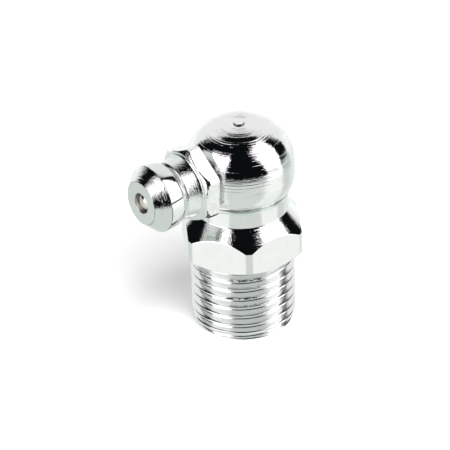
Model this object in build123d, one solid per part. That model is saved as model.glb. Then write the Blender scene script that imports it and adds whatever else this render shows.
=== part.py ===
"""Angled grease nipple: a body turned from hexagon bar, with a ball-check insert pressed into its head.

Frame: millimetres. The thread stands on z = 0 with its axis on +Z, and the nipple points along +X.
"""

from build123d import *
import math
import os

# ---- thread: M10 x 1, left plain at its major diameter
thread_diameter = 10.0
thread_length = 7.8
thread_end_diameter = 9.36
thread_lead_length = 1.3

# ---- hexagon of the body
hex_across_flats = 11.0
hex_corner_relief = 0.18  # turned off each corner, measured on the radius
hex_straight_height = 2.218  # height of a corner between its two chamfers
hex_seat_diameter = 10.72  # flat ring that seats on the machine
hex_under_chamfer_angle = 31.0  # from the seat plane
hex_top_cone_angle = 49.4  # from the seat plane

# ---- neck and head of the body
neck_diameter = 9.06
neck_height = 2.22
head_diameter = 10.48
head_under_radius = 3.1  # draws the head in from its band to its lower edge
head_edge_inset = 0.4  # how far that edge stands in from the band
head_band_height = 1.15
crown_flat_diameter = 2.08
pip_diameter = 1.06
pip_height = 0.15
pip_chamfer = 0.08

# ---- grease way through the body
grease_bore_diameter = 2.5
grease_bore_countersink = 0.3
cross_bore_depth_past_axis = 1.6
drill_point_angle = 118.0
nipple_axis_above_head_base = 2.42
spot_face_depth = 0.24
spot_face_margin = 0.3  # runs past the collar's corners

# ---- nipple insert, outside
shank_diameter = 4.0
shank_length = 3.3
shank_lead = 0.3
collar_across_flats = 7.0
collar_corner_relief = 0.12
collar_length = 1.62
collar_face_diameter = 6.84
collar_chamfer_angle = 35.0  # on the outer face alone
collar_turn = 3.5  # the pressed-in hexagon stands this many degrees off upright
coupler_neck_diameter = 5.8  # at the groove
coupler_neck_foot_diameter = 6.12  # at the collar
coupler_neck_hollow_radius = 18.0
coupler_neck_foot_radius = 0.32
coupler_neck_length = 1.58
groove_diameter = 4.9
groove_cone_length = 0.4
groove_floor_length = 0.1
head_back_rise = 0.1  # the back of the grip head leans this much over its height
grip_head_diameter = 6.65
grip_head_length = 1.65
grip_head_crown_radius = 8.5
grip_head_corner_radius = 0.35
nose_length = 1.27
nose_face_diameter = 4.38

# ---- nipple insert, inside
tip_hole_diameter = 2.0
tip_hole_land = 0.5
tip_hole_chamfer = 0.06
seat_half_angle = 30.0
check_bore_diameter = 2.9
crimp_hole_diameter = 1.5
crimp_length = 0.4

# ---- ball and spring
ball_diameter = 2.5
ball_seat_gap = 0.02
spring_wire_diameter = 0.25
spring_mean_diameter = 1.9
spring_active_turns = 5
spring_end_gap = 0.01

# ---- levels up the body, worked out from the sizes above
thread_radius = thread_diameter / 2
seat_z = thread_length
hex_corner_radius = hex_across_flats / math.sqrt(3) - hex_corner_relief
under_rise = (hex_corner_radius - hex_seat_diameter / 2) * math.tan(math.radians(hex_under_chamfer_angle))
corner_low_z = seat_z + under_rise
corner_high_z = corner_low_z + hex_straight_height
neck_radius = neck_diameter / 2
cone_rise = (hex_corner_radius - neck_radius) * math.tan(math.radians(hex_top_cone_angle))
neck_z = corner_high_z + cone_rise
head_z = neck_z + neck_height
head_radius = head_diameter / 2
head_edge_radius = head_radius - head_edge_inset
under_reach = head_under_radius - head_edge_inset
band_low_z = head_z + math.sqrt(head_under_radius**2 - under_reach**2)
band_high_z = band_low_z + head_band_height
crown_radius = head_radius - crown_flat_diameter / 2
crown_z = band_high_z + crown_radius

# ---- stations along the nipple's axis, measured from the body's axis
nipple_z = head_z + nipple_axis_above_head_base
collar_back_x = head_radius - spot_face_depth
collar_front_x = collar_back_x + collar_length
coupler_neck_end_x = collar_front_x + coupler_neck_length
groove_x = coupler_neck_end_x + groove_cone_length
groove_end_x = groove_x + groove_floor_length
ridge_x = groove_end_x + head_back_rise + grip_head_length
nose_x = ridge_x + nose_length
shank_end_x = collar_back_x - shank_length
collar_corner_radius = collar_across_flats / math.sqrt(3) - collar_corner_relief

# ---- ball seat: the ball touches the cone on one circle, less the running gap
seat_angle = math.radians(seat_half_angle)
tip_hole_radius = tip_hole_diameter / 2
check_bore_radius = check_bore_diameter / 2
ball_radius = ball_diameter / 2
seat_front_x = nose_x - tip_hole_land
seat_back_x = seat_front_x - (check_bore_radius - tip_hole_radius) / math.tan(seat_angle)
seat_apex_x = seat_front_x + tip_hole_radius / math.tan(seat_angle)
ball_x = seat_apex_x - (ball_radius + ball_seat_gap) / math.sin(seat_angle)

# ---- spring between the crimped end and the ball
spring_wire_radius = spring_wire_diameter / 2
spring_mean_radius = spring_mean_diameter / 2
crimp_x = shank_end_x + crimp_length
spring_back_x = crimp_x + spring_end_gap + spring_wire_radius
ball_to_wire = ball_radius + spring_end_gap + spring_wire_radius
spring_front_x = ball_x - math.sqrt(ball_to_wire**2 - spring_mean_radius**2)


def on_nipple_axis(shape):
    """Lifts a shape made about the X axis to the height of the nipple."""
    return Pos(0, 0, nipple_z) * shape


def flats_cutter(across_flats, width, low, high):
    """Everything outside a hexagon between two levels: what the flats remove from a round blank."""
    ring = Circle(width) - RegularPolygon(across_flats / 2, 6, major_radius=False)
    return Pos(0, 0, low) * extrude(ring, high - low)


def body_blank():
    """The elbow body as one turned profile, before the flats and bores."""
    under_start = (head_edge_radius, head_z)
    under_round = RadiusArc(under_start, (head_radius, band_low_z), -head_under_radius)
    crown_round = RadiusArc((head_radius, band_high_z), (crown_flat_diameter / 2, crown_z), -crown_radius)
    pip_radius = pip_diameter / 2
    pip_top = crown_z + pip_height
    lower = Polyline(
        (0, 0),
        (thread_end_diameter / 2, 0),
        (thread_radius, thread_lead_length),
        (thread_radius, seat_z),
        (hex_seat_diameter / 2, seat_z),
        (hex_corner_radius, corner_low_z),
        (hex_corner_radius, corner_high_z),
        (neck_radius, neck_z),
        (neck_radius, head_z),
        under_start,
    )
    upper = Polyline(
        crown_round @ 1,
        (pip_radius, crown_z),
        (pip_radius, pip_top - pip_chamfer),
        (pip_radius - pip_chamfer, pip_top),
        (0, pip_top),
        (0, 0),
    )
    band = Line(under_round @ 1, crown_round @ 0)
    outline = lower + under_round + band + crown_round + upper
    return revolve(Plane.XZ * make_face(outline.edges()), Axis.Z)


def grease_ways():
    """The bore up the thread, the blind cross bore for the nipple, and the spot face it seats on."""
    bore_radius = grease_bore_diameter / 2
    upright = extrude(Circle(bore_radius), nipple_z)
    mouth = Cone(
        bore_radius + grease_bore_countersink,
        bore_radius,
        grease_bore_countersink,
        align=(Align.CENTER, Align.CENTER, Align.MIN),
    )
    cross_radius = shank_diameter / 2
    point = cross_radius / math.tan(math.radians(drill_point_angle / 2))
    drill = Polyline(
        (-cross_bore_depth_past_axis - point, 0),
        (-cross_bore_depth_past_axis, cross_radius),
        (head_radius, cross_radius),
        (head_radius, 0),
        close=True,
    )
    cross = revolve(Plane.XZ * make_face(drill), Axis.X)
    facing = Plane.YZ.offset(collar_back_x) * Circle(collar_corner_radius + spot_face_margin)
    spot_face = extrude(facing, spot_face_depth + spot_face_margin)
    return upright + mouth + on_nipple_axis(cross + spot_face)


def elbow_body():
    flats = flats_cutter(hex_across_flats, hex_across_flats, seat_z, neck_z)
    return body_blank() - flats - grease_ways()


def grip_head_back():
    """Crowned side and rounded back corner of the head that a coupler's jaws grip."""
    ridge_radius = grip_head_diameter / 2
    back_x = groove_end_x + head_back_rise
    sag = grip_head_crown_radius - math.sqrt(grip_head_crown_radius**2 - grip_head_length**2)
    corner = (back_x, ridge_radius - sag)
    side = RadiusArc(corner, (ridge_x, ridge_radius), grip_head_crown_radius)
    back = Line((groove_end_x, groove_diameter / 2), corner)
    return back, side


def insert_blank():
    """The nipple insert as one turned profile, before the flats of its collar."""
    slope = math.tan(math.radians(collar_chamfer_angle))
    face_radius = collar_face_diameter / 2
    collar_chamfer = (collar_corner_radius - face_radius) * slope
    shank_radius = shank_diameter / 2
    crimp_radius = crimp_hole_diameter / 2
    foot = (collar_front_x, coupler_neck_foot_diameter / 2)
    neck_end = (coupler_neck_end_x, coupler_neck_diameter / 2)
    neck = RadiusArc(foot, neck_end, -coupler_neck_hollow_radius)
    back, side = grip_head_back()
    rear = Polyline(
        (shank_end_x, crimp_radius),
        (shank_end_x, shank_radius - shank_lead),
        (shank_end_x + shank_lead, shank_radius),
        (collar_back_x, shank_radius),
        (collar_back_x, collar_corner_radius),
        (collar_front_x - collar_chamfer, collar_corner_radius),
        (collar_front_x, face_radius),
        foot,
    )
    groove = Polyline(neck_end, (groove_x, groove_diameter / 2), (groove_end_x, groove_diameter / 2))
    nose_and_bore = Polyline(
        (ridge_x, grip_head_diameter / 2),
        (nose_x, nose_face_diameter / 2),
        (nose_x, tip_hole_radius + tip_hole_chamfer),
        (nose_x - tip_hole_chamfer, tip_hole_radius),
        (seat_front_x, tip_hole_radius),
        (seat_back_x, check_bore_radius),
        (crimp_x, check_bore_radius),
        (crimp_x, crimp_radius),
        (shank_end_x, crimp_radius),
    )
    section = make_face((rear + neck + groove + back + side + nose_and_bore).edges())
    neck_foot = section.vertices().sort_by_distance(Vertex(*foot))[0]
    section = fillet(neck_foot, coupler_neck_foot_radius)
    back_corner = section.vertices().sort_by_distance(Vertex(*(back @ 1)))[0]
    section = fillet(back_corner, grip_head_corner_radius)
    return revolve(Plane.XZ * section, Axis.X)


def nipple_insert():
    across = flats_cutter(collar_across_flats, collar_across_flats, collar_back_x, collar_front_x)
    laid_down = Rot(-collar_turn, 0, 0) * Rot(0, 90, 0) * across
    return on_nipple_axis(insert_blank() - laid_down)


def check_ball():
    return on_nipple_axis(Pos(ball_x, 0, 0) * Sphere(ball_radius))


def spring_point(turn, turns):
    """A point on the wire's centre line; the first and last turns lie closed against their neighbours."""
    closed = min(turn, 1.0) + max(turn - (turns - 1), 0.0)
    active = turn - closed
    open_pitch = (spring_front_x - spring_back_x - 2 * spring_wire_diameter) / (turns - 2)
    x = spring_back_x + closed * spring_wire_diameter + active * open_pitch
    angle = 2 * math.pi * turn
    return (x, spring_mean_radius * math.cos(angle), spring_mean_radius * math.sin(angle))


def check_spring():
    turns = spring_active_turns + 2
    points_per_turn = 8
    wire_sides = 6  # stand for a round wire
    count = turns * points_per_turn
    path = Spline([spring_point(i / points_per_turn, turns) for i in range(count + 1)])
    wire = Plane(path @ 0, z_dir=path % 0) * RegularPolygon(spring_wire_radius, wire_sides)
    return on_nipple_axis(sweep(wire, path=path, is_frenet=True))


def main():
    os.makedirs("parts", exist_ok=True)
    export_step(elbow_body(), "parts/elbow_body.step")
    export_step(nipple_insert(), "parts/nipple_insert.step")
    export_step(check_ball(), "parts/check_ball.step")
    export_step(check_spring(), "parts/check_spring.step")


main()
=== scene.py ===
import bpy
import math
import bmesh
import numpy as np
from mathutils import Matrix, Vector


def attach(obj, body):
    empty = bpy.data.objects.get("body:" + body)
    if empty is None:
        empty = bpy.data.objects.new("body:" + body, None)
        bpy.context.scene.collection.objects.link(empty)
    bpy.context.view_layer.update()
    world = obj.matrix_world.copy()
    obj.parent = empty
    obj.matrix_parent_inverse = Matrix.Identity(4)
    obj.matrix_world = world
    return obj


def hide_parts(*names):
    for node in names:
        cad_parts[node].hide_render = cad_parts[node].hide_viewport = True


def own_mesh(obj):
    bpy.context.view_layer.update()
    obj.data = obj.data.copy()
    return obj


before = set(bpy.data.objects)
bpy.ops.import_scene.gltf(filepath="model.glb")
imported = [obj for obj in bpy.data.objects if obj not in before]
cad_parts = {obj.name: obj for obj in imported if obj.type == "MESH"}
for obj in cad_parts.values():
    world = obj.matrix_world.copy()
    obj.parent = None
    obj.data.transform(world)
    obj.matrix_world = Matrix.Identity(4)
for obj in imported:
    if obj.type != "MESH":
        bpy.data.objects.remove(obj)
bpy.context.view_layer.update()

# ---------------------------------------------------------------- elbow body
# One steel piece, turned from 11 mm hexagon bar: thread, hexagon, neck and domed head on one axis.
# Bright zinc plate follows every tool mark, and the parting pip is left on top of the dome.
mm = 0.001   # the sizes are in mm, and the scene is in metres
view_angle = math.radians(54.2)   # direction of the camera round the body's axis, from +X
body_spread = 2.4   # degrees between columns of the turned skin
thread_radius, thread_length, thread_pitch = 5.0, 7.8, 1.0
thread_depth, crest_width = 0.6, 0.13
thread_end_radius, thread_lead = 4.68, 1.3   # the lead-in at the end of the thread
crest_start = 0.8   # height of the first crest on the camera's side
torn_crests, torn_reach = (4, 6), math.radians(20)   # crests that the die tore, and how far each way
torn_depth, torn_share = 0.07, 0.12   # how deep the tears are, and their share of the pitch each way
seat_radius, seat_z = 5.36, thread_length   # flat ring that seats on the machine
hexagon_flat, hexagon_relief, corner_length = 5.5, 0.18, 2.218   # relief: how much is turned off each corner
hexagon_corner = hexagon_flat / math.cos(math.radians(30)) - hexagon_relief
under_slope, top_slope = math.tan(math.radians(31.0)), math.tan(math.radians(49.4))
corner_high = seat_z + (hexagon_corner - seat_radius) * under_slope + corner_length
neck_radius, neck_length = 4.53, 2.22
neck_z = corner_high + (hexagon_corner - neck_radius) * top_slope
head_radius, head_z = 5.24, neck_z + neck_length
under_radius, edge_inset, head_cove = 3.1, 0.4, 0.75   # head's under round, lower edge, cove over the neck
band_length = 1.15   # plain band round the head
band_low = head_z + math.sqrt(under_radius**2 - (under_radius - edge_inset)**2)
band_high = band_low + band_length
crown_centre_radius = 1.04
crown_radius = head_radius - crown_centre_radius
pip_radius, pip_height = 0.53, 0.15
nipple_rise, spot_face_depth = 2.42, 0.24   # from the head's lower edge up, and from its side in
nipple_z = head_z + nipple_rise
spot_face_x = head_radius - spot_face_depth   # where the nipple's collar stands against the head
bore_radius, bore_top, bore_mouth = 1.25, nipple_z, 0.3
corner_rows = 7   # rows that a rounded corner takes: one before it, five on its arc, one after it
arc_start, arc_middle, arc_end = 2, 4, 6   # where in those rows one finish can give way to the next


def rounded(line, columns):
    """Rows of a turned skin from (radius, height, edge): a corner with an edge becomes a small arc."""
    corner = np.array([[np.broadcast_to(value, columns) for value in point[:2]] for point in line])
    rows = [corner[0]]
    for k in range(1, len(line) - 1):
        edge = line[k][2]
        if not np.any(edge):
            rows.append(corner[k])
            continue
        back, on = corner[k - 1] - corner[k], corner[k + 1] - corner[k]
        back_length, on_length = np.hypot(*back), np.hypot(*on)
        reach = np.minimum(edge, 0.4 * np.minimum(back_length, on_length))
        back, on = back / back_length * reach, on / on_length * reach
        rows.append(corner[k] + 1.2 * back)
        for t in (0, 0.2, 0.5, 0.8, 1):
            rows.append(corner[k] + back * (1 - t) ** 2 + on * t**2)
        rows.append(corner[k] + 1.2 * on)
    rows.append(corner[-1])
    return np.array(rows)


def skin(name, sections, angles):
    """A closed mesh about Z from rows of (radius, height), in sections that each have their own finish."""
    grid = np.concatenate(sections)
    rows, columns = len(grid), grid.shape[2]
    points = np.stack([grid[:, 0] * np.cos(angles), grid[:, 0] * np.sin(angles), grid[:, 1]], -1)
    points = points.reshape(-1, 3) * mm
    section = np.repeat(np.arange(len(sections)), [len(part) for part in sections])
    faces, finish = [], []
    for i in range(rows - 1):
        for j in range(columns - 1):
            a = i * columns + j
            faces.append((a, a + 1, a + columns + 1, a + columns))
            finish.append(int(section[i + 1]))
    mesh = bpy.data.meshes.new(name)
    mesh.from_pydata(points.tolist(), [], faces)
    mesh.polygons.foreach_set("material_index", finish)
    work = bmesh.new()
    work.from_mesh(mesh)
    bmesh.ops.remove_doubles(work, verts=work.verts, dist=2e-7)
    bmesh.ops.recalc_face_normals(work, faces=work.faces)
    work.to_mesh(mesh)
    work.free()
    mesh.shade_smooth()
    piece = bpy.data.objects.new(name, mesh)
    bpy.context.scene.collection.objects.link(piece)
    return piece


def columns_round(spread, corners, half_relief, start):
    """Column angles of a skin, with three close together at each edge of a hexagon's corners."""
    angles = list(np.arange(0, 360, spread))
    for corner in corners:
        for edge in (corner - half_relief, corner + half_relief):
            angles = [a for a in angles if abs((a - edge + 180) % 360 - 180) > 0.6]
            angles += [edge - 0.25, edge, edge + 0.25]
    angles = np.sort((np.array(angles) - start) % 360) + start
    return np.radians(np.append(angles, angles[0] + 360))


def hexagon_reach(angles, flat, corner, first_flat):
    """Distance from the axis to a hexagon whose corners are turned down."""
    off = (angles - math.radians(first_flat) + math.pi / 6) % (math.pi / 3) - math.pi / 6
    return np.minimum(flat / np.cos(off), corner)


corner_relief = 30 - math.degrees(math.acos(hexagon_flat / hexagon_corner))
angles = columns_round(body_spread, range(0, 360, 60), corner_relief, math.degrees(view_angle) - 180)
count = len(angles)
turn = (angles - view_angle) / (2 * math.pi)

# one turn of a 60 degree thread, from crest centre to crest centre, as (share of the pitch, radius):
# half of its rounded crest, its flank and the edge of its root, then the root's middle and the same again
flank_slope = math.tan(math.radians(30))
crest_edge = crest_width / 2
half = [(crest_edge * share, thread_radius - drop)
        for share, drop in ((0.45, 0.0), (0.8, 0.006), (1.15, 0.022), (1.6, 0.07))]
half += [(crest_edge + drop * flank_slope, thread_radius - drop) for drop in (0.14, 0.26, 0.38, 0.48, 0.545)]
half += [(crest_edge + thread_depth * flank_slope + 0.03, thread_radius - thread_depth + 0.008)]
form = [(0.0, thread_radius)] + half + [(0.5, thread_radius - thread_depth - 0.005)]
form += [(1 - share, radius) for share, radius in reversed(half)]
shares, radii = np.array(form).T
crest_rows = 4   # rows of the form on each side of a crest's middle that are the crest itself

# nicks along each crest: how deep by column, then by crest from the thread's end, worst near one side
chance = np.random.default_rng(5)
crest_wear = np.array([0.1, 0.15, 0.15, 0.25, 1.6, 0.4, 1.6, 1.2, 1, 1, 1, 1])
tears = np.clip(np.abs(chance.normal(0, 1, (len(crest_wear), count))) - 0.6, 0, 1.5)
tears *= crest_wear[:, None]
tears *= 0.3 + 0.7 * np.exp(-((angles - view_angle) / torn_reach)**4)
tears[:, -1] = tears[:, 0]


def thread_surface(z):
    """Radius of the thread at each column for the given heights, its crests a little torn by the die."""
    turns_up = (z - crest_start) / thread_pitch - turn
    share = turns_up % 1.0
    radius = np.interp(share, np.append(shares, 1.0), np.append(radii, radii[0]))
    crest = np.clip(np.round(turns_up), 0, len(tears) - 1).astype(int)
    near_crest = np.clip(1 - np.minimum(share, 1 - share) / torn_share, 0, 1)
    radius = radius - torn_depth * near_crest * tears[crest, np.arange(count)]
    lead = thread_end_radius + (thread_radius - thread_end_radius) * z / thread_lead
    return np.minimum(radius, lead)


thread_rows = []
first_turn, last_turn = -2, 8   # enough to fill the thread's length at every column
for whole in range(first_turn, last_turn + 1):
    for share in shares:
        z = np.clip(crest_start + (whole + share + turn) * thread_pitch, 0.0, thread_length)
        thread_rows.append((thread_surface(z), z))
torn_rows = [(crest - first_turn) * len(shares) + side
             for crest in torn_crests for side in (-crest_rows, crest_rows + 1)]
thread_parts = np.split(np.array(thread_rows), torn_rows)

# the bore, its mouth and the end face of the thread
below = rounded([(0, bore_top, 0), (bore_radius, bore_top, 0.05), (bore_radius, bore_mouth, 0.03),
                 (bore_radius + bore_mouth, 0, 0.03), (thread_surface(np.zeros(count)), 0, 0)], count)

# seat, hexagon with its under chamfer and top cone, neck, and the head's lower edge over its cove
reach = hexagon_reach(angles, hexagon_flat, hexagon_corner, 30)
cove = [(neck_radius + head_cove * (1 - math.cos(a)), head_z - head_cove * (1 - math.sin(a)), 0)
        for a in np.linspace(0, math.acos(1 - 0.25 / head_cove), 9)]
edge_radius = head_radius - edge_inset
low = seat_z + (reach - seat_radius) * under_slope
high = corner_high + (hexagon_corner - reach) * top_slope
hexagon = rounded([(thread_surface(np.full(count, thread_length)), seat_z, 0), (seat_radius, seat_z, 0.04),
                   (reach, low, 0.05), (reach, high, 0.06), (neck_radius, neck_z, 0.08),
                   *cove, (edge_radius, head_z, 0.05), (edge_radius + 0.08, head_z + 0.15, 0)], count)[:-1]
corner_middles = [1 + corner * corner_rows + arc_middle for corner in (1, 2, 3)]
cove_start = 1 + 4 * corner_rows
seat_rows, flat_rows, cone_rows, neck_rows, cove_rows, head_edge_rows = np.split(
    hexagon, [*corner_middles, cove_start + 1, cove_start + len(cove)])

# the head: under round past its rounded lower edge, plain band, and crown with the form tool's rings
under_angle = math.acos(1 - edge_inset / under_radius)
under = [(head_radius - under_radius * (1 - math.cos(a)), band_low + under_radius * math.sin(a))
         for a in np.linspace(-under_angle, 0, 22)[2:-1]]
along_head = band_length + crown_radius * math.pi / 2
# each ring: distance along the profile from the band's lower edge, half its width, its height
tool_rings = [
    (0.14, 0.04, 0.003), (0.35, 0.05, 0.006), (0.79, 0.05, 0.008), (1.14, 0.06, 0.012),
    (1.487, 0.06, 0.013), (1.795, 0.05, 0.010), (2.088, 0.05, 0.010), (2.84, 0.05, 0.008),
    (3.276, 0.06, 0.006), (4.28, 0.06, 0.006), (4.427, 0.05, 0.010), (4.654, 0.06, 0.008),
    (5.328, 0.045, 0.009), (5.577, 0.045, 0.010), (5.79, 0.045, 0.009), (6.435, 0.04, 0.011),
    (6.70, 0.03, 0.008), (6.93, 0.04, 0.014), (7.19, 0.04, 0.010), (7.45, 0.04, 0.011), (7.685, 0.045, 0.012)]
steps = set(np.round(np.linspace(0, along_head, 116), 4))
for place, half_width, height in tool_rings:
    steps |= set(np.round(place + half_width * np.linspace(-1, 1, 7), 4))
steps = np.array(sorted(step for step in steps if 0 <= step <= along_head))
lean = np.clip((steps - band_length) / crown_radius, 0, math.pi / 2)   # how far the surface has turned upward
outward = np.stack([np.cos(lean), np.sin(lean)], 1)
on_band = np.stack([np.full(len(steps), head_radius), band_low + steps], 1)
on_crown = (crown_centre_radius, band_high) + crown_radius * outward
profile = np.where((steps < band_length)[:, None], on_band, on_crown)
chance = np.random.default_rng(11)
lift = np.zeros((len(steps), count))
for place, half_width, height in tool_rings:
    across = (steps - place) / half_width
    ring = np.where(abs(across) < 1, 0.5 + 0.5 * np.cos(math.pi * across), 0)
    fading = 0.3 * np.sin(2 * angles + chance.uniform(0, 6))
    fading += 0.25 * np.sin(5 * angles + chance.uniform(0, 6))
    lift += height * ring[:, None] * (1 + fading)
# the form tool's own unevenness: a random slope at every knot, kept level over each millimetre
knot_gap, knot_slope = 0.13, 0.035
knots = np.arange(0, along_head + knot_gap, knot_gap)
slope = np.interp(steps, knots, chance.normal(0, knot_slope, len(knots)))
wave = np.concatenate([[0], np.cumsum(0.5 * (slope[1:] + slope[:-1]) * np.diff(steps))])
wave -= np.interp(steps, knots, [wave[abs(steps - knot) < 0.5].mean() for knot in knots])
lift += wave[:, None] * (1 + 0.25 * np.sin(3 * angles + 1.0))
pip_clearance = 0.05   # the marks run out this far before the pip
lift *= np.minimum(1, (steps[-1] - steps) / pip_clearance)[:, None]
head = profile[:, :, None] + lift[:, None] * outward[:, :, None]
under_rows = np.repeat(np.array(under)[:, :, None], count, 2)
crown_top = band_high + crown_radius
pip_top_z = crown_top + pip_height
pip = rounded([(crown_centre_radius, crown_top, 0), (pip_radius + 0.02, crown_top, 0.015),
               (pip_radius - 0.02, pip_top_z, 0.02), (0, pip_top_z, 0)], count)[1:]
pip_foot, pip_side, pip_top = np.split(pip, [arc_middle, corner_rows + arc_middle])
head_rows = np.concatenate([under_rows, head, pip_foot])
# the flat that the nipple's collar stands against is cut straight across the head on the nipple's side
toward_nipple = np.cos(angles)
spot_face = spot_face_x / np.maximum(toward_nipple, 0.5)
head_rows[:, 0] = np.where(toward_nipple > 0.5, np.minimum(head_rows[:, 0], spot_face), head_rows[:, 0])

elbow = skin("elbow_body_plated", [
    np.concatenate([below, thread_parts[0]]), *thread_parts[1:], seat_rows, flat_rows, cone_rows, neck_rows,
    cove_rows, head_edge_rows, head_rows, pip_side, pip_top], angles)
# sections 1 and 3 are the torn crests, which are plain thread beyond their torn stretch
for face in elbow.data.polygons:
    off = abs(math.atan2(face.center.y, face.center.x) - view_angle)
    if face.material_index in (1, 3) and off > torn_reach:
        face.material_index = 0
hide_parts("elbow_body")
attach(elbow, "fitting")


def socket(tree, name, kind, way, value=None):
    made = tree.interface.new_socket(name=name, in_out=way, socket_type=kind)
    if value is not None:
        made.default_value = value


def math_node(tree, operation, *inputs):
    node = tree.nodes.new("ShaderNodeMath")
    node.operation = operation
    for n, value in enumerate(inputs):
        if isinstance(value, (int, float)):
            node.inputs[n].default_value = value
        else:
            tree.links.new(value, node.inputs[n])
    return node.outputs[0]


def noise(tree, place, scale, detail, dimensions="3D"):
    node = tree.nodes.new("ShaderNodeTexNoise")
    node.noise_dimensions = dimensions
    node.inputs["Detail"].default_value = detail
    tree.links.new(place, node.inputs["W" if dimensions == "1D" else "Vector"])
    if isinstance(scale, (int, float)):
        node.inputs["Scale"].default_value = scale
    else:
        tree.links.new(scale, node.inputs["Scale"])
    return node.outputs[0]


def place_in_mm(tree):
    """A point's place in its piece's own frame, in mm."""
    place, size = tree.nodes.new("ShaderNodeTexCoord"), tree.nodes.new("ShaderNodeVectorMath")
    size.operation = "SCALE"
    size.inputs["Scale"].default_value = 1000.0
    tree.links.new(place.outputs["Object"], size.inputs[0])
    return size.outputs[0]


def turning_group():
    """Height in mm of tool marks and plating grain, with the turning axis on the object's own Z."""
    tree = bpy.data.node_groups.new("turning_marks", "ShaderNodeTree")
    chatter_reach = 7.0   # radius in the noise of the circle that a turn of chatter follows
    socket(tree, "Marks per mm", "NodeSocketFloat", "INPUT", 8.0)
    socket(tree, "Mark depth", "NodeSocketFloat", "INPUT", 0.003)
    socket(tree, "Chatter depth", "NodeSocketFloat", "INPUT", 0.003)
    socket(tree, "Grain per mm", "NodeSocketFloat", "INPUT", 12.0)
    socket(tree, "Grain depth", "NodeSocketFloat", "INPUT", 0.001)
    socket(tree, "Height", "NodeSocketFloat", "OUTPUT")
    links = tree.links
    inp, out = tree.nodes.new("NodeGroupInput"), tree.nodes.new("NodeGroupOutput")
    apart, wrapped = tree.nodes.new("ShaderNodeSeparateXYZ"), tree.nodes.new("ShaderNodeCombineXYZ")
    place = place_in_mm(tree)
    links.new(place, apart.inputs[0])
    x, y, z = apart.outputs
    square = math_node(tree, "ADD", math_node(tree, "MULTIPLY", x, x), math_node(tree, "MULTIPLY", y, y))
    radius = math_node(tree, "SQRT", square)
    along = math_node(tree, "SUBTRACT", z, radius)
    rings = noise(tree, along, inp.outputs["Marks per mm"], 2.0, "1D")
    for axis, value in enumerate((x, y)):
        direction = math_node(tree, "DIVIDE", value, radius)
        links.new(math_node(tree, "MULTIPLY", direction, chatter_reach), wrapped.inputs[axis])
    links.new(math_node(tree, "MULTIPLY", along, inp.outputs["Marks per mm"]), wrapped.inputs[2])
    chatter = noise(tree, wrapped.outputs[0], 1.0, 2.0)
    chatter = math_node(tree, "MULTIPLY", chatter, math_node(tree, "MINIMUM", radius, 1.0))
    grain = noise(tree, place, inp.outputs["Grain per mm"], 2.0)
    height = math_node(tree, "MULTIPLY", rings, inp.outputs["Mark depth"])
    for marks, depth in ((chatter, "Chatter depth"), (grain, "Grain depth")):
        height = math_node(tree, "ADD", height, math_node(tree, "MULTIPLY", marks, inp.outputs[depth]))
    links.new(height, out.inputs["Height"])
    return tree


def patches_group():
    """Mask of the patches where plate has dulled, or has worn off an edge; on some edges the same mask paints
    dark shade.
    """
    tree = bpy.data.node_groups.new("plating_patches", "ShaderNodeTree")
    socket(tree, "Patches per mm", "NodeSocketFloat", "INPUT", 1.6)
    socket(tree, "Share", "NodeSocketFloat", "INPUT", 0.5)
    socket(tree, "Softness", "NodeSocketFloat", "INPUT", 0.3)
    socket(tree, "Mask", "NodeSocketFloat", "OUTPUT")
    inp, out = tree.nodes.new("NodeGroupInput"), tree.nodes.new("NodeGroupOutput")
    spots = noise(tree, place_in_mm(tree), inp.outputs["Patches per mm"], 3.0)
    noise_low, noise_high = 0.32, 0.68   # so this level leaves about the share that is asked for above it
    below_high = math_node(tree, "MULTIPLY", inp.outputs["Share"], noise_high - noise_low)
    level = math_node(tree, "SUBTRACT", noise_high, below_high)
    over = math_node(tree, "DIVIDE", math_node(tree, "SUBTRACT", spots, level), inp.outputs["Softness"])
    over = math_node(tree, "MAXIMUM", math_node(tree, "ADD", over, 0.5), 0.0)
    tree.links.new(math_node(tree, "MINIMUM", over, 1.0), out.inputs["Mask"])
    return tree


turning_marks, plating_patches = turning_group(), patches_group()


def plated(piece, name, colour, roughness, marks, grain, patches=(0.95, 0.9, 0.5, 0.5)):
    """A bright metal, for most pieces zinc plate, over tool marks, added to a piece as its next material.

    Marks are (how many to a mm, their depth, the depth of the chatter across them), and grain is (how many
    to a mm, depth). Patches are (light they keep, how many to a mm, their share of the surface, softness).
    """
    material = bpy.data.materials.new(name)
    material.use_nodes = True
    tree = material.node_tree
    shader = tree.nodes["Principled BSDF"]
    # the darker colour under the mask is dull plate, and on some edges painted shade
    dulled, spots = tree.nodes.new("ShaderNodeMix"), tree.nodes.new("ShaderNodeGroup")
    dulled.data_type = "RGBA"
    dulled.inputs["A"].default_value = (*colour, 1)
    dulled.inputs["B"].default_value = (*[v * patches[0] for v in colour], 1)
    spots.node_tree = plating_patches
    for socket_name, value in zip(("Patches per mm", "Share", "Softness"), patches[1:]):
        spots.inputs[socket_name].default_value = value
    tree.links.new(spots.outputs["Mask"], dulled.inputs["Factor"])
    tree.links.new(dulled.outputs["Result"], shader.inputs["Base Color"])
    shader.inputs["Metallic"].default_value = 1.0
    shader.inputs["Roughness"].default_value = roughness
    group = tree.nodes.new("ShaderNodeGroup")
    group.node_tree = turning_marks
    names = ("Marks per mm", "Mark depth", "Chatter depth", "Grain per mm", "Grain depth")
    for socket_name, value in zip(names, (*marks, *grain)):
        group.inputs[socket_name].default_value = value
    bump = tree.nodes.new("ShaderNodeBump")
    bump.inputs["Distance"].default_value = mm
    tree.links.new(group.outputs["Height"], bump.inputs["Height"])
    tree.links.new(bump.outputs["Normal"], shader.inputs["Normal"])
    piece.data.materials.append(material)


# the second plate below is darkened as painted shade for the cove under the head's edge
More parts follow.
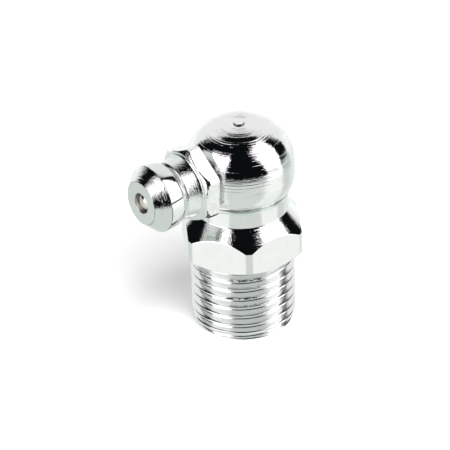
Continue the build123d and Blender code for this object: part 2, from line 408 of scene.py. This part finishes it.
plate, cove_shade_plate = (0.82, 0.83, 0.825), (0.74, 0.8, 0.77)
# the first of these plates paints shade on the head's lower edge, the second paints shade on the pip's side
edge_shade_grey, pip_shade_dark = (0.6, 0.64, 0.62), (0.16, 0.17, 0.165)
plated(elbow, "plated_thread", plate, 0.17, (9.0, 0.0012, 0.0015), (12.0, 0.0015))
plated(elbow, "torn_crest", plate, 0.2, (9.0, 0.0012, 0.0015), (12.0, 0.006), (0.12, 2.6, 0.5, 0.05))
for finish in (0, 1, 0):   # the thread between the torn crests, the second torn crest, the rest of the thread
    elbow.data.materials.append(elbow.data.materials[finish])
plated(elbow, "plated_seat", plate, 0.12, (6.0, 0.003, 0.002), (12.0, 0.001))
plated(elbow, "plated_bar_flats", plate, 0.12, (6.0, 0.0, 0.0), (9.0, 0.0012))
plated(elbow, "plated_cone", plate, 0.05, (6.0, 0.007, 0.010), (7.0, 0.011))
plated(elbow, "plated_neck", plate, 0.07, (6.0, 0.003, 0.003), (6.0, 0.002))
# the cove is painted a darker, greener plate: painted shade under the head's lower edge
plated(elbow, "plated_cove_painted_shade", cove_shade_plate, 0.07, (6.0, 0.003, 0.003), (6.0, 0.002))
# the head's lower edge is painted darker grey with darker patches: painted shade along the line under the
# head
plated(elbow, "plated_head_edge_painted_shade", edge_shade_grey, 0.2, (6.0, 0.003, 0.003), (6.0, 0.004), (0.3, 0.5, 0.5, 0.15))
plated(elbow, "plated_head", plate, 0.05, (8.0, 0.007, 0.010), (9.0, 0.004))
# the pip's side is painted near black: painted shade on its side wall, which is also torn rough
plated(elbow, "torn_pip_side_painted_shade", pip_shade_dark, 0.3, (8.0, 0.003, 0.003), (9.0, 0.002))
plated(elbow, "plated_pip", plate, 0.12, (8.0, 0.001, 0.0), (9.0, 0.001))

# ---------------------------------------------------------------- nipple insert
# A turned steel nipple with its own 7 mm hexagon collar, pressed into the head up to the collar.
# The grooved, crowned end is what the grease coupler's jaws hold; plated like the body.
insert_spread = 2.5   # degrees between columns of its skin
collar_flat, collar_relief, collar_length, collar_face_radius = 3.5, 0.12, 1.62, 3.42
collar_corner = collar_flat / math.cos(math.radians(30)) - collar_relief
collar_slope, collar_turn = math.tan(math.radians(35.0)), -3.5   # pressed in a few degrees off upright
shank_length, shank_radius, shank_lead = 3.3, 2.0, 0.3
crimp_radius, crimp_length = 0.75, 0.4
neck_end_radius, coupler_neck_length, foot_round = 2.9, 1.58, 0.3
groove_radius, groove_cone, groove_floor = 2.45, 0.4, 0.1
back_lean, ridge_radius, grip_length, side_crown = 0.1, 3.325, 1.65, 8.5
tip_radius, nose_length, hole_radius, hole_edge, hole_land = 2.19, 1.27, 1.0, 0.06, 0.5
check_bore_radius, seat_slope = 1.45, math.tan(math.radians(30))

# stations along the nipple, from the body's axis
collar_back = spot_face_x
shank_end, collar_face = collar_back - shank_length, collar_back + collar_length
crimp_x, neck_end = shank_end + crimp_length, collar_face + coupler_neck_length
groove_start = neck_end + groove_cone
groove_end = groove_start + groove_floor
grip_back = groove_end + back_lean
ridge_x = grip_back + grip_length
tip_x = ridge_x + nose_length
land_end = tip_x - hole_land
seat_end = land_end - (check_bore_radius - hole_radius) / seat_slope

insert_relief = 30 - math.degrees(math.acos(collar_flat / collar_corner))
collar_corners = np.arange(0, 360, 60) + collar_turn
insert_angles = columns_round(insert_spread, collar_corners, insert_relief, 0)
insert_count = len(insert_angles)
collar = hexagon_reach(insert_angles, collar_flat, collar_corner, 30 + collar_turn)
front_edge = collar_face - np.maximum(collar - collar_face_radius, 0.0) * collar_slope
# two corners on the side of the camera took a knock: (how much is gone, which corner)
bruise = sum(size * np.exp(-((np.degrees(insert_angles) - collar_corners[corner]) / 6)**2)
             for size, corner in ((0.3, 2), (0.2, 1)))


def grip_radius(x):
    """Radius of the grip head's crowned side, which is fullest at the ridge."""
    return ridge_radius - (side_crown - math.sqrt(side_crown**2 - (ridge_x - x)**2))


# heights along the grip's side, past the rounded corner at its back
grip_heights = grip_back + (ridge_x - grip_back) * np.linspace(0.12, 0.96, 14)[3:]
grip_side = [(grip_radius(x), x) for x in grip_heights]
# the neck flares toward the collar and runs into its face with a small round
flares, flare_step = np.radians(np.linspace(4.8, 10, 12)), 0.111
neck_line = [(neck_end_radius, neck_end)]
for flare in flares:
    radius, x = neck_line[-1]
    neck_line.append((radius + flare_step * math.tan(flare), x - flare_step))
foot_centre = neck_line[-1][0] + foot_round * math.cos(flares[-1])
foot = [(foot_centre - foot_round * math.cos(a), collar_face + foot_round * (1 - math.sin(a)), 0)
        for a in np.linspace(math.pi / 2, flares[-1], 9)]
rear = rounded([
    (crimp_radius, shank_end, 0), (shank_radius - shank_lead, shank_end, 0.03),
    (shank_radius, shank_end + shank_lead, 0.03), (shank_radius, collar_back, 0.03),
    (collar, collar_back, 0.04), (collar, front_edge, 0.07 + bruise), (collar_face_radius, collar_face, 0.02),
    *foot, *[(radius, x, 0) for radius, x in neck_line[-2:0:-1]], (neck_end_radius, neck_end, 0.05),
    (groove_radius, groove_start, 0.04), (groove_radius, groove_end, 0.04),
    (grip_radius(grip_back), grip_back, 0.3), (*grip_side[0], 0)], insert_count)[:-1]
crowned = np.repeat(np.array(grip_side)[:, :, None], insert_count, 2)
nose = rounded([
    (*grip_side[-1], 0), (ridge_radius, ridge_x, 0.03), (tip_radius, tip_x, 0.04),
    (hole_radius + hole_edge, tip_x, 0.02), (hole_radius, tip_x - hole_edge, 0.02),
    (hole_radius, land_end, 0.03), (check_bore_radius, seat_end, 0.03), (check_bore_radius, crimp_x, 0.05),
    (crimp_radius, crimp_x, 0.03), (crimp_radius, shank_end, 0)], insert_count)[1:]
collar_back_row, collar_edge_row, grip_row = 1 + 3 * corner_rows, 1 + 4 * corner_rows, len(rear) - corner_rows
shank_rows, collar_rows, edge_rows, coupler_rows, grip_rows = np.split(
    rear, [collar_back_row + arc_middle, collar_edge_row + arc_start, collar_edge_row + arc_end, grip_row])
ridge_rows, nose_rows, rim_rows, tip_rows, inside_rows = np.split(
    nose, [arc_end, corner_rows + arc_start, corner_rows + arc_end, 2 * corner_rows + arc_start])
insert = skin("nipple_insert_plated", [
    shank_rows, collar_rows, edge_rows, coupler_rows, np.concatenate([grip_rows, crowned]), ridge_rows,
    nose_rows, rim_rows, tip_rows, inside_rows], insert_angles)
lie_down = Matrix(((0, 0, 1, 0), (0, 1, 0, 0), (-1, 0, 0, nipple_z * mm), (0, 0, 0, 1)))
insert.matrix_world = lie_down
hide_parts("nipple_insert")
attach(insert, "fitting")
dull_plate, bore_shade_plate = (0.75, 0.785, 0.765), (0.55, 0.56, 0.55)
plated(insert, "plated_shank", dull_plate, 0.15, (8.0, 0.003, 0.002), (12.0, 0.001))
plated(insert, "plated_collar_flats", plate, 0.2, (8.0, 0.0, 0.0), (8.0, 0.003), (0.9, 3.0, 0.4, 0.1))
plated(insert, "worn_collar_edge", plate, 0.2, (8.0, 0.0, 0.0), (8.0, 0.006), (0.12, 1.3, 0.5, 0.05))
plated(insert, "plated_coupler_neck", dull_plate, 0.05, (8.0, 0.003, 0.002), (8.0, 0.026))
plated(insert, "plated_crowned_side", dull_plate, 0.08, (7.0, 0.003, 0.004), (10.0, 0.002))
# the ridge's rounded strip is darkened in patches: worn plate, and painted shade along the edge's dark line
plated(insert, "worn_ridge_painted_shade", dull_plate, 0.2, (7.0, 0.003, 0.004), (10.0, 0.002), (0.2, 1.5, 0.8, 0.1))
plated(insert, "plated_nose", dull_plate, 0.06, (6.0, 0.014, 0.018), (6.0, 0.014))
# the tip's rim strip likewise: worn plate, and painted shade along the rim's dark line
plated(insert, "worn_tip_rim_painted_shade", dull_plate, 0.2, (7.0, 0.003, 0.004), (10.0, 0.002), (0.4, 1.2, 0.7, 0.15))
plated(insert, "plated_tip_face", dull_plate, 0.2, (5.0, 0.002, 0.002), (6.0, 0.003))
# the bore is painted darker: painted shade inside the tip hole
plated(insert, "plated_bore_painted_shade", bore_shade_plate, 0.3, (6.0, 0.003, 0.004), (10.0, 0.002))

# ---------------------------------------------------------------- check ball
# A 2.5 mm bearing ball of hard steel, ground and polished.
# The spring holds it against the cone behind the tip hole, and grease pushes it off.
ball_radius, seat_gap = 1.25, 0.02
off_seat = (ball_radius + seat_gap) / math.sin(math.atan(seat_slope))   # from the point of the seat's cone
ball_x = land_end + hole_radius / seat_slope - off_seat
tilt = np.radians(np.linspace(-90, 90, 49))
ball_angles = np.radians(np.linspace(0, 360, 73))
ball_rows = ball_radius * np.stack([np.cos(tilt), np.sin(tilt)], 1)
ball_rows = np.repeat(ball_rows[:, :, None], len(ball_angles), 2)
ball = skin("check_ball_polished", [ball_rows], ball_angles)
ball.matrix_world = Matrix.Translation((ball_x * mm, 0, nipple_z * mm)) @ Matrix.Rotation(math.pi / 2, 4, "Y")
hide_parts("check_ball")
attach(ball, "ball")
# the ball is painted darker and tinted tan: painted shade deep in the tip hole
plated(ball, "ground_ball_steel_painted_shade", (0.66, 0.62, 0.575), 0.06, (10.0, 0.0002, 0.0002), (15.0, 0.0003))

# ---------------------------------------------------------------- check spring
# Hard-drawn round steel wire, a quarter of a millimetre thick, coiled to 1.9 mm with its end turns closed.
# It sits loose in the bore, between the crimped end and the ball.
wire_radius, coil_radius, turns, end_gap = 0.125, 0.95, 7, 0.01
spring_start = crimp_x + end_gap + wire_radius   # the middle of the wire at either end
spring_end = ball_x - math.sqrt((ball_radius + end_gap + wire_radius)**2 - coil_radius**2)
turn_steps, wire_sides = 40, 10
coil_steps = turns * turn_steps
pitch_open = (spring_end - spring_start - 4 * wire_radius) / (turns - 2)
forward, nipple_axis = Vector((1, 0, 0)), Vector((0, 0, nipple_z * mm))
wire_points, wire_faces = [], []
for i in range(coil_steps + 1):
    turned = i / turn_steps
    closed = min(turned, 1.0) + max(turned - (turns - 1), 0.0)   # turns so far that touch the one before
    x = spring_start + closed * 2 * wire_radius + (turned - closed) * pitch_open
    y, z = math.cos(2 * math.pi * turned), math.sin(2 * math.pi * turned)
    centre, from_axis = Vector((x, coil_radius * y, coil_radius * z)), Vector((0, y, z))
    for j in range(wire_sides):
        a = 2 * math.pi * j / wire_sides
        point = centre + wire_radius * (math.cos(a) * from_axis + math.sin(a) * forward)
        wire_points.append(point * mm + nipple_axis)
for i in range(coil_steps):
    for j in range(wire_sides):
        a, b = i * wire_sides + j, i * wire_sides + (j + 1) % wire_sides
        wire_faces.append((a, b, b + wire_sides, a + wire_sides))
wire_faces.append(tuple(range(wire_sides)))
wire_faces.append(tuple(range(coil_steps * wire_sides, (coil_steps + 1) * wire_sides)))
mesh = bpy.data.meshes.new("check_spring_wire")
mesh.from_pydata(wire_points, [], wire_faces)
mesh.shade_smooth()
spring = bpy.data.objects.new("check_spring_wire", mesh)
bpy.context.scene.collection.objects.link(spring)
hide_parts("check_spring")
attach(spring, "fitting")
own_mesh(spring)
plated(spring, "drawn_spring_wire", (0.45, 0.44, 0.42), 0.25, (10.0, 0.0005, 0.0005), (20.0, 0.001))

# ---------------------------------------------------------------- table and studio
# A glossy white table whose edge ends a hand's breadth in front, running up into a white sheet behind.
# Two softboxes show in the plate, and one broad lamp lights the table.
table_front, table_right, wall_away, wall_half, bend = -80.0, 170.0, 400.0, 520.0, 120.0
back_edge = wall_away - bend
shade_heights, top_heights, top_light = (380, 640), (575, 1020), 0.72   # heights in the middle, at the ends
box_distance, box_light, box_colour = 500, 2.2, (1.0, 0.95, 0.975, 1)
lamp_light, lamp_spread = 5.2, math.radians(45)
lamp_azimuth, lamp_elevation = math.radians(34), math.radians(54)


def studio_point(side, away, up):
    """Where a point lies that is given in mm to the camera's right, away from the camera, and up."""
    c, s = math.cos(view_angle), math.sin(view_angle)
    return Vector((-s * side - c * away, c * side - s * away, up)) * mm


def sheet(name, points, faces):
    mesh = bpy.data.meshes.new(name)
    mesh.from_pydata([studio_point(*p) for p in points], [], faces)
    made = bpy.data.objects.new(name, mesh)
    bpy.context.scene.collection.objects.link(made)
    return made


table = sheet("table", [(-wall_half, table_front, 0), (table_right, table_front, 0),
                        (wall_half, back_edge, 0), (-wall_half, back_edge, 0)], [(0, 1, 2, 3)])
white = bpy.data.materials.new("white_table")
white.use_nodes = True
tree = white.node_tree
shader = tree.nodes["Principled BSDF"]
shader.inputs["Roughness"].default_value = 0.12
shader.inputs["IOR"].default_value = 1.95
ray = tree.nodes.new("ShaderNodeLightPath")


def by_ray(camera, mirror, other):
    """The table's colour for camera rays, for rays off metal, and for the light that it sends on."""
    first, second = tree.nodes.new("ShaderNodeMix"), tree.nodes.new("ShaderNodeMix")
    first.data_type = second.data_type = "RGBA"
    first.inputs["A"].default_value = (*other, 1)
    first.inputs["B"].default_value = (*mirror, 1)
    second.inputs["B"].default_value = (*camera, 1)
    off_metal = math_node(tree, "MAXIMUM", ray.outputs["Is Glossy Ray"], ray.outputs["Is Transmission Ray"])
    tree.links.new(off_metal, first.inputs["Factor"])
    tree.links.new(first.outputs["Result"], second.inputs["A"])
    tree.links.new(ray.outputs["Is Camera Ray"], second.inputs["Factor"])
    return second.outputs["Result"]


base = by_ray((0.90, 0.90, 0.90), (0.20, 0.205, 0.20), (0.8, 0.8, 0.8))
shine = by_ray((0.37, 0.37, 0.37), (0.60, 0.635, 0.61), (0.0, 0.0, 0.0))
tree.links.new(base, shader.inputs["Base Color"])
tree.links.new(shine, shader.inputs["Emission Color"])
shader.inputs["Emission Strength"].default_value = 1.0
table.data.materials.append(white)

# rows of three points up the sheet: round its bend, where it starts to fall into shade, and its sagging top
sheet_points = []
for bent in np.radians(np.linspace(0, 90, 10)):
    sheet_points += [(side, back_edge + bend * math.sin(bent), bend - bend * math.cos(bent))
                     for side in (-wall_half, 0, wall_half)]
for middle, ends in (shade_heights, top_heights):
    sheet_points += [(-wall_half, wall_away, ends), (0, wall_away, middle), (wall_half, wall_away, ends)]
below_top = len(sheet_points) - 3
backdrop = sheet("backdrop", sheet_points, [(k, k + 1, k + 4, k + 3) for k in range(below_top) if k % 3 < 2])
shade = backdrop.data.attributes.new("sheet_light", "FLOAT", "POINT")
shade.data.foreach_set("value", [1.0] * below_top + [top_light] * 3)
material = bpy.data.materials.new("lit_backdrop")
material.use_nodes = True
tree = material.node_tree
tree.nodes.clear()
fall, glow, end = (tree.nodes.new("ShaderNode" + n) for n in ("Attribute", "Emission", "OutputMaterial"))
fall.attribute_name = "sheet_light"
tree.links.new(fall.outputs["Fac"], glow.inputs["Strength"])
tree.links.new(glow.outputs[0], end.inputs["Surface"])
backdrop.data.materials.append(material)
backdrop.visible_camera = backdrop.visible_diffuse = False


def softbox(name, azimuth, elevation, outline):
    """A lit white sheet that faces the object, given by its place round the camera's direction.

    The outline is its corners to the right and up from its middle, as shares of its distance.
    """
    a, e = math.radians(azimuth), math.radians(elevation)
    out = np.array([math.sin(a) * math.cos(e), -math.cos(a) * math.cos(e), math.sin(e)])
    across = np.array([math.cos(a), math.sin(a), 0.0])
    up = np.array([-math.sin(a) * math.sin(e), math.cos(a) * math.sin(e), math.cos(e)])
    made = sheet(name, [(out + across * s + up * v) * box_distance for s, v in outline], [(0, 1, 2, 3)])
    material = bpy.data.materials.new(name)
    material.use_nodes = True
    tree = material.node_tree
    tree.nodes.clear()
    glow, ray, end = (tree.nodes.new("ShaderNode" + n) for n in ("Emission", "LightPath", "OutputMaterial"))
    # dark for rays that come off the metal after the table, so no bright patches are thrown onto the table
    after_table = math_node(tree, "MINIMUM", ray.outputs["Diffuse Depth"], 1.0)
    dark = math_node(tree, "MULTIPLY", ray.outputs["Is Glossy Ray"], after_table)
    kept = math_node(tree, "SUBTRACT", 1.0, dark)
    tree.links.new(math_node(tree, "MULTIPLY", kept, box_light), glow.inputs["Strength"])
    glow.inputs["Color"].default_value = box_colour
    tree.links.new(glow.outputs[0], end.inputs["Surface"])
    made.data.materials.append(material)
    made.visible_camera = made.visible_diffuse = False


softbox("left_softbox", -56, 15, [(-0.47, -0.30), (0.42, -0.48), (0.41, 0.80), (-0.45, 0.47)])
softbox("right_softbox", 75, 35, [(-0.385, -0.66), (0.385, -0.66), (0.385, 0.60), (-0.385, 0.60)])

lamp = bpy.data.lights.new("table_lamp", "SUN")   # lights the table alone, from high on the camera's right
lamp.energy, lamp.angle = lamp_light, lamp_spread
table_lamp = bpy.data.objects.new("table_lamp", lamp)
bpy.context.scene.collection.objects.link(table_lamp)
from_lamp = studio_point(math.sin(lamp_azimuth), -math.cos(lamp_azimuth), math.tan(lamp_elevation))
table_lamp.rotation_euler = from_lamp.to_track_quat("Z", "Y").to_euler()
table_lamp.visible_glossy = table_lamp.visible_camera = False

world = bpy.data.worlds.new("studio")   # a dark room in the plate, white behind the table's edge
bpy.context.scene.world = world
world.use_nodes = True
tree = world.node_tree
ray, room = tree.nodes.new("ShaderNodeLightPath"), tree.nodes.new("ShaderNodeMix")
room.data_type = "RGBA"
room.inputs["A"].default_value = (0.004, 0.005, 0.006, 1)
room.inputs["B"].default_value = (1.0, 1.0, 1.0, 1)
tree.links.new(ray.outputs["Is Camera Ray"], room.inputs["Factor"])
tree.links.new(room.outputs["Result"], tree.nodes["Background"].inputs["Color"])

# ---------------------------------------------------------------- camera
# A long lens from a little above, between the nipple's tip and its side, tipped slightly.
# It is placed so that a point on the body's axis falls on a given pixel.
camera_elevation, camera_roll, camera_distance = math.radians(31.904), math.radians(-1.6475), 900.0
pixels_per_mm, picture_pixels, sensor_width = 10.4216, 450, 36
aim_height, aim_right, aim_down = 10, 241.739, 225.6415   # a height on the body's axis, and its pixel
data = bpy.data.cameras.new("camera")
data.lens = pixels_per_mm * camera_distance * sensor_width / picture_pixels
data.sensor_width = sensor_width
data.clip_start, data.clip_end = 0.01, 10.0
camera = bpy.data.objects.new("camera", data)
bpy.context.scene.collection.objects.link(camera)
back = Vector((math.cos(view_angle) * math.cos(camera_elevation),
               math.sin(view_angle) * math.cos(camera_elevation), math.sin(camera_elevation)))
level = Vector((-math.sin(view_angle), math.cos(view_angle), 0))
upright = back.cross(level)
c, s = math.cos(camera_roll), math.sin(camera_roll)
right, up = c * level + s * upright, c * upright - s * level
aim = Vector((0, 0, aim_height)) - right * ((aim_right - picture_pixels / 2) / pixels_per_mm)
aim = aim + up * ((aim_down - picture_pixels / 2) / pixels_per_mm)
camera_place = aim + back * camera_distance
camera_rows = [(*axes, along * mm) for *axes, along in zip(right, up, back, camera_place)]
camera.matrix_world = Matrix((*camera_rows, (0, 0, 0, 1)))
bpy.context.scene.camera = camera
bpy.context.scene.view_settings.view_transform = "Standard"
